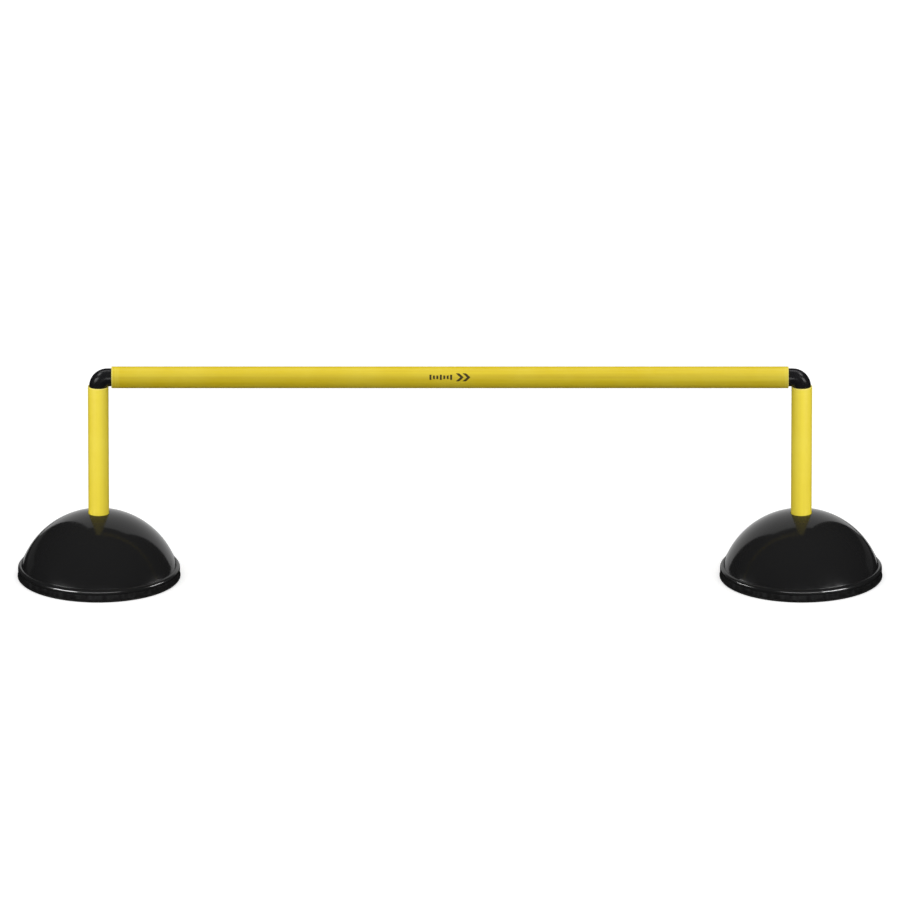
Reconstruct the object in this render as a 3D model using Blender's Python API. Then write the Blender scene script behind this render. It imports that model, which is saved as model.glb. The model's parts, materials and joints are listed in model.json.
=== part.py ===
"""Agility hurdle: a yellow jump bar on two posts, each in a weighted dome base.

Metres, +Z up. The origin is on the floor, under the middle of the jump bar.
+X runs along the bar and -Y is the front. The right side repeats the left one.
"""

import math

import bmesh
import bpy
from mathutils import Vector

# ------------------------------------------------------------ driving dimensions

FIT_GAP = 0.0003            # clearance left between pieces that fit or rest together

BAR_RADIUS = 0.0133         # the bar has a slightly thicker wall than the posts
POST_RADIUS = 0.0127        # one-inch tube
TUBE_BORE = 0.0113          # the same in both, so that one elbow fits
TUBE_CHAMFER = 0.0004
BAR_LENGTH = 0.825
BAR_AXIS_Z = 0.2565
POST_AXIS_X = 0.4287        # from the middle of the bar to each post's axis
POST_TOP_Z = 0.2453
POST_FOOT_Z = 0.009

ELBOW_RADIUS = TUBE_BORE - FIT_GAP
ELBOW_WALL = 0.0022
ELBOW_BEND = BAR_AXIS_Z - POST_TOP_Z    # centreline radius of the bend
SPIGOT_LENGTH = 0.036       # how far the elbow goes into each tube
SPIGOT_CHAMFER = 0.001

DOME_SPHERE = 0.1005        # the dome is a cap of this sphere
DOME_CENTRE_Z = -0.0170
DOME_FOOT_RADIUS = 0.0949   # where the cap meets the bead
DOME_WALL = 0.0025
POST_HOLE = POST_RADIUS + FIT_GAP

RIM_RADIUS = 0.099          # the bead's widest point
RIM_WALL = 0.0026
BEAD_ROUND = 0.0036
BEAD_DROP = 0.0004          # the bead's crest lies this far below the cap's foot
PARTING_Z = 0.0093          # joint between the shell and the bottom cover
EDGE_CHAMFER = 0.0005

COVER_RADIUS = 0.0989
COVER_UNDER_Z = 0.0031
COVER_FLOOR = 0.0025
COVER_TONGUE_WIDTH = 0.0023
COVER_TONGUE_HEIGHT = 0.0023

RING_RADIUS = 0.0996        # the rubber ring is the widest piece of the base
RING_CHAMFER = 0.0014       # its outer lip leans in towards the floor
RING_BORE = 0.089
RING_RIB_BORE = 0.0955      # rib that plugs into the groove under the cover
RING_RIB_RADIUS = 0.0971
RING_RIB_HEIGHT = 0.0026

SLEEVE_WALL = 0.0022
SLEEVE_FLANGE_RADIUS = 0.024
SLEEVE_FLANGE = 0.0025

BALLAST_RADIUS = 0.074
BALLAST_SHOULDER_Z = 0.030
BALLAST_TOP_RADIUS = 0.060
BALLAST_TOP_Z = 0.042
BALLAST_CHAMFER = 0.0015

SCREW_CIRCLE = 0.083        # radius of the circle that the four screws stand on
SCREW_ANGLES = (45, 135, 225, 315)
SCREW_RADIUS = 0.0013
SCREW_LENGTH = 0.0142
SCREW_POINT = 0.0013
SCREW_HEAD_RADIUS = 0.0032
SCREW_HEAD_HEIGHT = 0.002
BOSS_RADIUS = 0.004
BOSS_BORE_DEPTH = 0.0135

# facets round each kind of piece
BASE_SIDES = 40
TUBE_SIDES = 24
BALLAST_SIDES = 32
BOSS_SIDES = 12
SCREW_SIDES = 10
CAP_STEPS = 6
BEAD_STEPS = 3
BEND_STEPS = 6

SMOOTH_ANGLE = math.radians(32)

# heights that follow from the ones above
COVER_TOP_Z = COVER_UNDER_Z + COVER_FLOOR
ON_COVER_Z = COVER_TOP_Z + FIT_GAP
SHELL_FOOT_Z = PARTING_Z + FIT_GAP
BALLAST_BORE = POST_HOLE + SLEEVE_WALL + 2 * FIT_GAP


# ------------------------------------------------------------ materials

def material(name, colour, roughness, metallic=0.0):
    """A Principled material of one linear colour."""
    made = bpy.data.materials.new(name)
    made.use_nodes = True
    shader = made.node_tree.nodes["Principled BSDF"]
    shader.inputs["Base Color"].default_value = (*colour, 1.0)
    shader.inputs["Roughness"].default_value = roughness
    shader.inputs["Metallic"].default_value = metallic
    return made


def make_materials():
    """One material for each kind of stuff that the hurdle is made of."""
    return {
        "tube": material("yellow_tube_plastic", (0.62, 0.43, 0.05), 0.42),
        "elbow": material("black_elbow_plastic", (0.012, 0.012, 0.012), 0.35),
        "shell": material("black_gloss_shell", (0.010, 0.010, 0.010), 0.18),
        "cover": material("black_cover_plastic", (0.012, 0.012, 0.012), 0.32),
        "rubber": material("black_rubber", (0.014, 0.014, 0.014), 0.75),
        "sleeve": material("grey_sleeve_plastic", (0.12, 0.12, 0.125), 0.5),
        "ballast": material("cast_concrete", (0.36, 0.35, 0.33), 0.9),
        "screw": material("zinc_steel", (0.6, 0.6, 0.58), 0.3, 1.0),
    }


# ------------------------------------------------------------ shape helpers

def arc(centre_r, centre_z, radius, start, end, steps):
    """Points (r, z) along an arc; angles in degrees, counted up from the +R direction."""
    points = []
    for step in range(steps + 1):
        angle = math.radians(start + (end - start) * step / steps)
        points.append((centre_r + radius * math.cos(angle), centre_z + radius * math.sin(angle)))
    return points


def add_turned(bm, profile, sides):
    """Turn a closed (r, z) outline about Z; points at r = 0 become single poles."""
    rings = []
    for r, z in profile:
        if r == 0:
            rings.append([bm.verts.new((0, 0, z))] * sides)
            continue
        turns = [math.tau * side / sides for side in range(sides)]
        rings.append([bm.verts.new((r * math.cos(a), r * math.sin(a), z)) for a in turns])
    for index, ring in enumerate(rings):
        below = rings[(index + 1) % len(rings)]
        for side in range(sides):
            after = (side + 1) % sides
            corners = [ring[side], ring[after], below[after], below[side]]
            face = list(dict.fromkeys(corners))
            if len(face) > 2:
                bm.faces.new(face)
    return [vert for ring in rings for vert in dict.fromkeys(ring)]


def finish_mesh(bm, name):
    """Close the bmesh into a mesh with its faces pointing out and round parts smooth."""
    bmesh.ops.recalc_face_normals(bm, faces=bm.faces[:])
    mesh = bpy.data.meshes.new(name)
    bm.to_mesh(mesh)
    bm.free()
    mesh.shade_smooth()
    mesh.set_sharp_from_angle(angle=SMOOTH_ANGLE)
    return mesh


def turned_mesh(name, profile, sides):
    """A mesh turned about its own Z axis."""
    bm = bmesh.new()
    add_turned(bm, profile, sides)
    return finish_mesh(bm, name)


def on_screw_circle(angle):
    """The place of a screw, relative to its base's axis."""
    turn = math.radians(angle)
    return Vector((SCREW_CIRCLE * math.cos(turn), SCREW_CIRCLE * math.sin(turn), 0))


def sphere_z(sphere_radius, r):
    """Height of a sphere about the dome's centre, at distance r from the axis."""
    return DOME_CENTRE_Z + math.sqrt(sphere_radius ** 2 - r ** 2)


def cap_arc(sphere_radius, r_start, r_end):
    """Points of the dome's section between two distances from the axis."""
    start = math.degrees(math.acos(r_start / sphere_radius))
    end = math.degrees(math.acos(r_end / sphere_radius))
    return arc(0, DOME_CENTRE_Z, sphere_radius, start, end, CAP_STEPS)


# ------------------------------------------------------------ meshes of the pieces

def tube_mesh(name, radius, length):
    """A plain tube along +Z from the origin, with both mouths chamfered."""
    c = TUBE_CHAMFER
    profile = [
        (TUBE_BORE, c), (TUBE_BORE + c, 0), (radius - c, 0), (radius, c),
        (radius, length - c), (radius - c, length), (TUBE_BORE + c, length),
        (TUBE_BORE, length - c),
    ]
    return turned_mesh(name, profile, TUBE_SIDES)


def elbow_stations():
    """Centreline of the left elbow as (point, direction), from the post to the bar.

    The origin is where the post's and the bar's axes cross.
    """
    leg_end = (POST_AXIS_X - BAR_LENGTH / 2) + SPIGOT_LENGTH
    foot_end = ELBOW_BEND + SPIGOT_LENGTH
    up, along = Vector((0, 0, 1)), Vector((1, 0, 0))
    stations = [(Vector((0, 0, -foot_end)), up)]
    for step in range(BEND_STEPS + 1):
        angle = math.radians(90) * step / BEND_STEPS
        x = ELBOW_BEND * (1 - math.cos(angle))
        z = ELBOW_BEND * (math.sin(angle) - 1)
        direction = up * math.cos(angle) + along * math.sin(angle)
        stations.append((Vector((x, 0, z)), direction))
    stations.append((Vector((leg_end, 0, 0)), along))
    return stations


def elbow_ring(bm, point, direction, radius):
    """A ring of the elbow's section, square to its centreline."""
    across = Vector((0, 1, 0))
    inward = across.cross(direction)
    ring = []
    for side in range(TUBE_SIDES):
        angle = math.tau * side / TUBE_SIDES
        offset = inward * math.cos(angle) + across * math.sin(angle)
        ring.append(bm.verts.new(point + offset * radius))
    return ring


def elbow_mesh():
    """The left elbow: an open 90 degree tube with a chamfered spigot on each leg."""
    bm = bmesh.new()
    stations = elbow_stations()
    first_point, first_way = stations[0]
    last_point, last_way = stations[-1]
    chamfer = SPIGOT_CHAMFER
    outer = [(first_point, first_way, ELBOW_RADIUS - chamfer)]
    outer.append((first_point + first_way * chamfer, first_way, ELBOW_RADIUS))
    outer += [(point, way, ELBOW_RADIUS) for point, way in stations[1:-1]]
    outer.append((last_point - last_way * chamfer, last_way, ELBOW_RADIUS))
    outer.append((last_point, last_way, ELBOW_RADIUS - chamfer))
    inner = [(point, way, ELBOW_RADIUS - ELBOW_WALL) for point, way in reversed(stations)]
    rings = [elbow_ring(bm, *station) for station in outer + inner]
    for index, ring in enumerate(rings):
        following = rings[(index + 1) % len(rings)]
        for side in range(TUBE_SIDES):
            after = (side + 1) % TUBE_SIDES
            bm.faces.new((ring[side], ring[after], following[after], following[side]))
    return finish_mesh(bm, "elbow")


def shell_mesh():
    """The dome: a thin spherical cap with a hole for the post and a bead at its foot."""
    inside = DOME_SPHERE - DOME_WALL
    rim_bore = RIM_RADIUS - RIM_WALL
    profile = cap_arc(DOME_SPHERE, POST_HOLE, DOME_FOOT_RADIUS)
    bead_r = RIM_RADIUS - BEAD_ROUND
    bead_z = sphere_z(DOME_SPHERE, DOME_FOOT_RADIUS) - BEAD_DROP - BEAD_ROUND
    profile += arc(bead_r, bead_z, BEAD_ROUND, 90, 0, BEAD_STEPS)
    profile += [
        (RIM_RADIUS, SHELL_FOOT_Z + EDGE_CHAMFER),
        (RIM_RADIUS - EDGE_CHAMFER, SHELL_FOOT_Z),
        (rim_bore, SHELL_FOOT_Z),
        (rim_bore, SHELL_FOOT_Z + COVER_TONGUE_HEIGHT + FIT_GAP),
    ]
    profile += cap_arc(inside, DOME_FOOT_RADIUS - DOME_WALL, POST_HOLE)
    return turned_mesh("dome_shell", profile, BASE_SIDES)


def bosses_mesh():
    """Four screw bosses that reach from the cover into the middle of the dome's wall."""
    bm = bmesh.new()
    middle = DOME_SPHERE - DOME_WALL / 2
    bore = SCREW_RADIUS + FIT_GAP
    bore_end = ON_COVER_Z + BOSS_BORE_DEPTH
    top_z = sphere_z(middle, SCREW_CIRCLE)
    half_way = (bore_end + top_z) / 2
    profile = [
        (0, top_z), (BOSS_RADIUS, top_z), (BOSS_RADIUS, ON_COVER_Z), (bore, ON_COVER_Z),
        (bore, bore_end), (0, bore_end),
    ]
    for angle in SCREW_ANGLES:
        for vert in add_turned(bm, profile, BOSS_SIDES):
            vert.co += on_screw_circle(angle)
            if vert.co.z > half_way:
                vert.co.z = sphere_z(middle, vert.co.xy.length)
    return finish_mesh(bm, "bosses")


def cover_mesh():
    """The bottom cover: a shallow dish whose tongue locates inside the dome's rim."""
    tongue_radius = RIM_RADIUS - RIM_WALL - FIT_GAP
    tongue_bore = tongue_radius - COVER_TONGUE_WIDTH
    tongue_top = PARTING_Z + COVER_TONGUE_HEIGHT
    groove_top = COVER_UNDER_Z + RING_RIB_HEIGHT + FIT_GAP
    groove_bore = RING_RIB_BORE - FIT_GAP
    groove_radius = RING_RIB_RADIUS + FIT_GAP
    profile = [
        (COVER_RADIUS, COVER_UNDER_Z), (COVER_RADIUS, PARTING_Z - EDGE_CHAMFER),
        (COVER_RADIUS - EDGE_CHAMFER, PARTING_Z), (tongue_radius, PARTING_Z),
        (tongue_radius, tongue_top), (tongue_bore, tongue_top),
        (tongue_bore, COVER_TOP_Z), (0, COVER_TOP_Z), (0, COVER_UNDER_Z),
        (groove_bore, COVER_UNDER_Z), (groove_bore, groove_top),
        (groove_radius, groove_top), (groove_radius, COVER_UNDER_Z),
    ]
    return turned_mesh("base_cover", profile, BASE_SIDES)


def cover_drills_mesh():
    """Four drills for the screw holes of the bottom cover."""
    bm = bmesh.new()
    drill = SCREW_RADIUS + FIT_GAP
    for angle in SCREW_ANGLES:
        profile = [(0, 0), (drill, 0), (drill, 2 * COVER_TOP_Z), (0, 2 * COVER_TOP_Z)]
        for vert in add_turned(bm, profile, BOSS_SIDES):
            vert.co += on_screw_circle(angle)
    return finish_mesh(bm, "cover_drills")


def ring_mesh():
    """The rubber ring under the cover, with the rib that holds it in the groove."""
    top = COVER_UNDER_Z - FIT_GAP
    rib_top = top + RING_RIB_HEIGHT
    profile = [
        (RING_BORE, 0), (RING_RADIUS - RING_CHAMFER, 0), (RING_RADIUS, RING_CHAMFER),
        (RING_RADIUS, top), (RING_RIB_RADIUS, top), (RING_RIB_RADIUS, rib_top),
        (RING_RIB_BORE, rib_top), (RING_RIB_BORE, top), (RING_BORE, top),
    ]
    return turned_mesh("grip_ring", profile, BASE_SIDES)


def sleeve_mesh():
    """The blind socket for the post, with a flange that the ballast holds down."""
    outside = POST_HOLE + SLEEVE_WALL
    top = sphere_z(DOME_SPHERE - DOME_WALL, outside) - 2 * FIT_GAP
    floor_top = POST_FOOT_Z - FIT_GAP
    flange_top = ON_COVER_Z + SLEEVE_FLANGE
    profile = [
        (POST_HOLE, top), (outside, top), (outside, flange_top),
        (SLEEVE_FLANGE_RADIUS, flange_top), (SLEEVE_FLANGE_RADIUS, ON_COVER_Z),
        (0, ON_COVER_Z), (0, floor_top), (POST_HOLE, floor_top),
    ]
    return turned_mesh("socket_sleeve", profile, TUBE_SIDES)


def ballast_mesh():
    """The cast weight: a ring round the sleeve, stepped over the sleeve's flange."""
    step_z = ON_COVER_Z + SLEEVE_FLANGE + FIT_GAP
    step_radius = SLEEVE_FLANGE_RADIUS + 2 * FIT_GAP
    profile = [
        (BALLAST_BORE, BALLAST_TOP_Z), (BALLAST_TOP_RADIUS, BALLAST_TOP_Z),
        (BALLAST_RADIUS, BALLAST_SHOULDER_Z), (BALLAST_RADIUS, ON_COVER_Z + BALLAST_CHAMFER),
        (BALLAST_RADIUS - BALLAST_CHAMFER, ON_COVER_Z), (step_radius, ON_COVER_Z),
        (step_radius, step_z), (BALLAST_BORE, step_z),
    ]
    return turned_mesh("ballast", profile, BALLAST_SIDES)


def screw_mesh():
    """A pan-head screw that points up; the origin is at floor level on its axis."""
    head_top = COVER_UNDER_Z - FIT_GAP
    head_foot = head_top - SCREW_HEAD_HEIGHT
    crown = SCREW_HEAD_RADIUS - SCREW_HEAD_HEIGHT / 3
    tip = head_top + SCREW_LENGTH
    profile = [
        (0, head_foot), (crown, head_foot), (SCREW_HEAD_RADIUS, head_foot + SCREW_HEAD_HEIGHT / 3),
        (SCREW_HEAD_RADIUS, head_top), (SCREW_RADIUS, head_top),
        (SCREW_RADIUS, tip - SCREW_POINT), (0, tip),
    ]
    return turned_mesh("base_screw", profile, SCREW_SIDES)


# ------------------------------------------------------------ assembly

def clear_scene():
    """Start from an empty scene."""
    for existing in list(bpy.data.objects):
        bpy.data.objects.remove(existing)


def add_object(name, mesh, stuff=None, parent=None, location=(0, 0, 0), rotation=(0, 0, 0)):
    """Place a mesh in the scene under a name, with one material."""
    made = bpy.data.objects.new(name, mesh)
    bpy.context.scene.collection.objects.link(made)
    if stuff and mesh and not mesh.materials:
        mesh.materials.append(stuff)
    made.parent = parent
    made.location = location
    made.rotation_euler = rotation
    return made


def add_guide(target, name, mesh, operation, parent):
    """Add a hidden guide and let it cut, or join on to, the target."""
    guide = add_object(name, mesh, parent=parent)
    guide.hide_render = True
    guide.display_type = "WIRE"
    boolean = target.modifiers.new(name, "BOOLEAN")
    boolean.operation = operation
    boolean.solver = "EXACT"
    boolean.object = guide


def make_meshes():
    """The mesh of each kind of piece; both sides share them."""
    return {
        "post": tube_mesh("post_tube", POST_RADIUS, POST_TOP_Z - POST_FOOT_Z),
        "elbow": elbow_mesh(),
        "shell": shell_mesh(),
        "bosses": bosses_mesh(),
        "cover": cover_mesh(),
        "drills": cover_drills_mesh(),
        "ring": ring_mesh(),
        "sleeve": sleeve_mesh(),
        "ballast": ballast_mesh(),
        "screw": screw_mesh(),
    }


def build_bar(stuff):
    """The jump bar, along X; its origin is at its left end, on its axis."""
    mesh = tube_mesh("crossbar_tube", BAR_RADIUS, BAR_LENGTH)
    start = (-BAR_LENGTH / 2, 0, BAR_AXIS_Z)
    return add_object("crossbar_tube", mesh, stuff["tube"], None, start, (0, math.radians(90), 0))


def build_base(side, axis, meshes, stuff):
    """One weighted base; its pieces turn about the empty that stands on the post's axis."""
    shell = add_object(f"{side}_dome_shell", meshes["shell"], stuff["shell"], axis)
    add_guide(shell, f"{side}_boss_guide", meshes["bosses"], "UNION", axis)
    cover = add_object(f"{side}_base_cover", meshes["cover"], stuff["cover"], axis)
    add_guide(cover, f"{side}_drill_guide", meshes["drills"], "DIFFERENCE", axis)
    add_object(f"{side}_grip_ring", meshes["ring"], stuff["rubber"], axis)
    add_object(f"{side}_socket_sleeve", meshes["sleeve"], stuff["sleeve"], axis)
    add_object(f"{side}_ballast", meshes["ballast"], stuff["ballast"], axis)
    for number, angle in enumerate(SCREW_ANGLES, start=1):
        name = f"{side}_base_screw_{number}"
        add_object(name, meshes["screw"], stuff["screw"], axis, on_screw_circle(angle))


def build_side(side, sign, meshes, stuff):
    """An elbow, its post and its base; sign is -1 on the left and +1 on the right."""
    x = sign * POST_AXIS_X
    half_turn = math.radians(90 + 90 * sign)
    corner = (x, 0, BAR_AXIS_Z)
    add_object(f"{side}_elbow", meshes["elbow"], stuff["elbow"], None, corner, (0, 0, half_turn))
    post_foot = (x, 0, POST_FOOT_Z)
    add_object(f"{side}_post_tube", meshes["post"], stuff["tube"], None, post_foot)
    axis = add_object(f"{side}_base_axis", None, location=(x, 0, 0))
    build_base(side, axis, meshes, stuff)


def main():
    clear_scene()
    stuff = make_materials()
    meshes = make_meshes()
    build_bar(stuff)
    build_side("left", -1, meshes, stuff)
    build_side("right", 1, meshes, stuff)


main()
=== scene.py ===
import json
import math

import bmesh
import bpy
from mathutils import Matrix, Vector, noise

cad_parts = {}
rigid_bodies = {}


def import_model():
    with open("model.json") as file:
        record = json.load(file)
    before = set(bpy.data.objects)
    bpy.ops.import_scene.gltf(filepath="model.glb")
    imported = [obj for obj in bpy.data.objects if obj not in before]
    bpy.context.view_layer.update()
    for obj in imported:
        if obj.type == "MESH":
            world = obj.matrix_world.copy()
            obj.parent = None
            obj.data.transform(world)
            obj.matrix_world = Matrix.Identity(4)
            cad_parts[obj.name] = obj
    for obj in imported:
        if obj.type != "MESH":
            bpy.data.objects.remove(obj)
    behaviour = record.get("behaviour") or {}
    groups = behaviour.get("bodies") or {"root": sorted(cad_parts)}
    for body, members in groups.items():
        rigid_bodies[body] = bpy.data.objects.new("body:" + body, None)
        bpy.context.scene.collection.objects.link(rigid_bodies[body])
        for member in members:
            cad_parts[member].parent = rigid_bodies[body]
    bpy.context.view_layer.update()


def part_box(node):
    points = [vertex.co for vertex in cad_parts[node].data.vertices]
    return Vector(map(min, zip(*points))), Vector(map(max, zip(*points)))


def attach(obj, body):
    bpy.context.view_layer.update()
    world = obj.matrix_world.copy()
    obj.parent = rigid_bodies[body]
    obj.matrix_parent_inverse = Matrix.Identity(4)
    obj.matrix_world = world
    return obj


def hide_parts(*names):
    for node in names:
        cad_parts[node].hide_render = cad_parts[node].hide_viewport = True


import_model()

# The looks of the agility hurdle: finely modelled pieces that stand for the faceted CAD solids, with
# procedural materials. Metres, in the CAD's frame: +X along the jump bar, -Y to the front, +Z up.
# The left and right halves mirror each other, so each mesh is made once and used on both sides.

SIDES = {"left": -1, "right": 1}
SCREWS = (1, 2, 3, 4)

# ------------------------------------------------------------ places, from the frame


def middle(box):
    """The centre of a box given as its two corners."""
    return (box[0] + box[1]) / 2


def half_size(box):
    """Half of a box's size along each axis."""
    return (box[1] - box[0]) / 2


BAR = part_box("crossbar_tube")
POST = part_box("right_post_tube")
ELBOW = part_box("right_elbow")
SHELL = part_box("right_dome_shell")
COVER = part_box("right_base_cover")
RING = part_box("right_grip_ring")
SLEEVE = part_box("right_socket_sleeve")
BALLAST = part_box("right_ballast")
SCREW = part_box("right_base_screw_1")

BAR_RADIUS = half_size(BAR).z
POST_RADIUS = half_size(POST).y
BAR_Z = middle(BAR).z
BAR_LENGTH = 2 * half_size(BAR).x
POST_X = middle(POST).x
POST_FOOT = POST[0].z
POST_TOP = POST[1].z
BEND = BAR_Z - POST_TOP
SCREW_X, SCREW_Y = middle(SCREW).x - POST_X, middle(SCREW).y

# ------------------------------------------------------------ sizes of the detail

MM = 0.001
FIT_GAP = 0.3 * MM             # all round a push fit
TUBE_BORE = 11.3 * MM          # this and the next ones are radii
ELBOW_RADIUS = TUBE_BORE - FIT_GAP
ELBOW_BORE = 8.8 * MM
POST_HOLE = POST_RADIUS + FIT_GAP
DOME_SPHERE = 100.5 * MM
DOME_FOOT = 94.9 * MM          # where the dome ends above its bead
RIM_RADIUS = half_size(SHELL).x
DOME_WALL = 2.5 * MM
RIM_WALL = 2.6 * MM
DOME_CENTRE_Z = SHELL[1].z - math.sqrt(DOME_SPHERE ** 2 - POST_HOLE ** 2)
PARTING = 9.3 * MM             # height of the split between the shell and the cover


# ------------------------------------------------------------ mesh helpers

SHARP = 35                     # degrees between two faces, past which their edge is shaded sharp
STRAIGHT = math.radians(179)   # an outline's corner that is flatter than this gets no fillet
ON_AXIS = 1e-9                 # a point nearer to the axis than this lies on it


def rounded(corners, steps=5):
    """A closed outline from corners (r, z, fillet radius), each rounded by an arc."""
    points = []
    for index, (r, z, fillet) in enumerate(corners):
        corner = Vector((r, z))
        before = Vector(corners[index - 1][:2]) - corner
        after = Vector(corners[(index + 1) % len(corners)][:2]) - corner
        opening = before.angle(after)
        if fillet == 0 or opening > STRAIGHT:
            points.append((r, z))
            continue
        before.normalize()
        after.normalize()
        reach = fillet / math.tan(opening / 2)
        centre = corner + (before + after).normalized() * (fillet / math.sin(opening / 2))
        start = corner + before * reach - centre
        end = corner + after * reach - centre
        sweep = math.pi - opening
        for step in range(steps + 1):
            share = step / steps
            spoke = start * math.sin((1 - share) * sweep) + end * math.sin(share * sweep)
            point = centre + spoke / math.sin(sweep)
            points.append((point.x, point.y))
    return points


def arc(centre_r, centre_z, radius, start, end, steps):
    """Points (r, z) on an arc; angles in degrees, counted up from the +R direction."""
    points = []
    for step in range(steps + 1):
        angle = math.radians(start + (end - start) * step / steps)
        points.append((centre_r + radius * math.cos(angle), centre_z + radius * math.sin(angle)))
    return points


def shaded(mesh, sharp=SHARP):
    """The mesh with smooth shading, except at edges past that angle."""
    mesh.shade_smooth()
    mesh.set_sharp_from_angle(angle=math.radians(sharp))
    return mesh


def as_mesh(bm, name, sharp=SHARP):
    """The bmesh as a shaded mesh with outward faces."""
    bmesh.ops.recalc_face_normals(bm, faces=bm.faces[:])
    mesh = bpy.data.meshes.new(name)
    bm.to_mesh(mesh)
    bm.free()
    return shaded(mesh, sharp)


def join_rings(bm, rings, closed=True):
    """Faces from each ring to the next; the first and the last are joined too, or capped."""
    followers = rings[1:] + rings[:1] if closed else rings[1:]
    for ring, after in zip(rings, followers):
        for side in range(len(ring)):
            turn = (side + 1) % len(ring)
            face = list(dict.fromkeys((ring[side], ring[turn], after[turn], after[side])))
            if len(face) > 2:
                bm.faces.new(face)
    if not closed:
        bm.faces.new(rings[0])
        bm.faces.new(rings[-1])


def quarter_turns():
    """The four turns about Z that repeat a detail at every quarter."""
    return [Matrix.Rotation(math.radians(90 * quarter), 3, "Z") for quarter in range(4)]


def lathe(name, outline, sides, shape=None):
    """A closed outline turned about Z. shape(r, z, angle) may give back a changed (r, z)."""
    bm = bmesh.new()
    rings = []
    for r, z in outline:
        if r < ON_AXIS:
            rings.append([bm.verts.new((0, 0, z))] * sides)
            continue
        ring = []
        for side in range(sides):
            angle = math.tau * side / sides
            at_r, at_z = shape(r, z, angle) if shape else (r, z)
            ring.append(bm.verts.new((at_r * math.cos(angle), at_r * math.sin(angle), at_z)))
        rings.append(ring)
    join_rings(bm, rings)
    return as_mesh(bm, name)


def block(bm, size, centre, turn):
    """Add a box, moved out to its centre and then turned about Z."""
    spin = Matrix.Rotation(turn, 3, "Z")
    for vert in bmesh.ops.create_cube(bm, size=1)["verts"]:
        local = Vector((vert.co.x * size[0], vert.co.y * size[1], vert.co.z * size[2]))
        vert.co = spin @ (local + Vector(centre))


def combine(mesh, tool, operation):
    """The mesh after an exact Boolean with a tool mesh."""
    target = bpy.data.objects.new("target", mesh)
    guide = bpy.data.objects.new("guide", tool)
    for item in (target, guide):
        bpy.context.scene.collection.objects.link(item)
    boolean = target.modifiers.new("cut", "BOOLEAN")
    boolean.operation = operation
    boolean.solver = "EXACT"
    boolean.object = guide
    evaluated = target.evaluated_get(bpy.context.evaluated_depsgraph_get())
    made = bpy.data.meshes.new_from_object(evaluated)
    made.name = mesh.name
    for item in (target, guide):
        bpy.data.objects.remove(item)
    return shaded(made)


def piece(name, mesh, material, body, nodes, location=(0, 0, 0), turn=0.0):
    """Show a mesh as a piece, turned about Z: it rides on a body and stands for its CAD nodes."""
    made = bpy.data.objects.new(name, mesh)
    bpy.context.scene.collection.objects.link(made)
    if not mesh.materials:
        mesh.materials.append(material)
    made.location = location
    made.rotation_euler.z = turn
    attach(made, body)
    if nodes:
        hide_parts(*nodes)


# ------------------------------------------------------------ material helpers

# A Mix node has two inputs and a result for each type of data, under the same names: these are their places.
MIX_COLOURS, MIX_COLOUR_RESULT = (6, 7), 2
MIX_NUMBERS, MIX_NUMBER_RESULT = (2, 3), 0


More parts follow.
